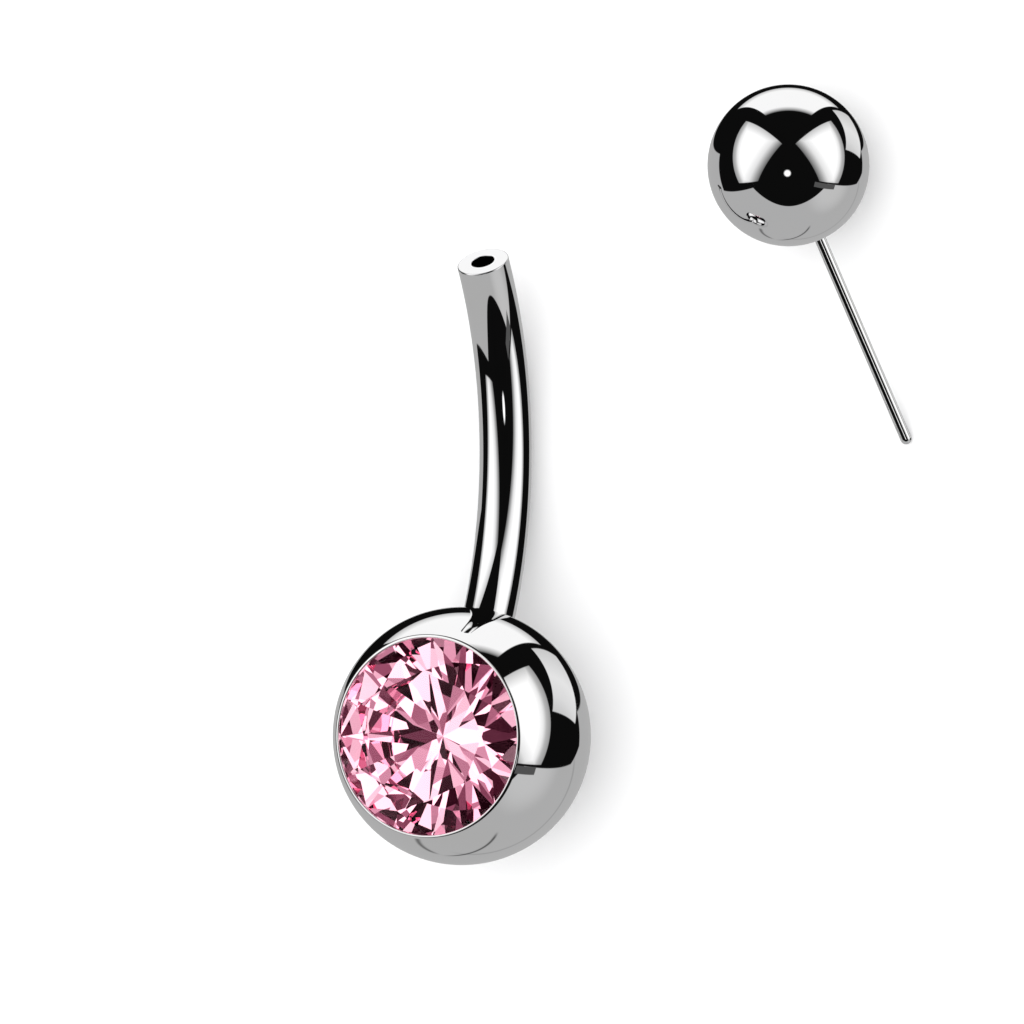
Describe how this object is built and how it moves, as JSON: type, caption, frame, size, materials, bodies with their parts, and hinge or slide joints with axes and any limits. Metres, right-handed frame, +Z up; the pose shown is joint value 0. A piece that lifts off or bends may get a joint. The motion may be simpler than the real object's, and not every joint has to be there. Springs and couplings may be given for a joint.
{
  "type": "navel ring with a push-in top ball",
  "caption": "Curved navel ring shown open: a stone set in a ball on a bent, bored shank, with a small pinned ball that pushes into the bore lying beside it.",
  "frame": {"origin": "on the surface that the ring lies on, under the middle of everything that lies there", "axes": "+Z up, out of the stone's face; +Y from the gem ball along the shank towards its open end; +X from the ring towards the top ball that lies beside it"},
  "size_m": [0.0176, 0.024, 0.0068],
  "materials": {
    "polished_steel": "mirror polish with faint wiping marks",
    "pink_stone": "clear faceted stone, polished"
  },
  "bodies": {
    "root": {"gem_ball": "polished_steel", "stone": "pink_stone", "shank": "polished_steel", "top_ball": "polished_steel", "pin": "polished_steel"}
  },
  "joints": []
}
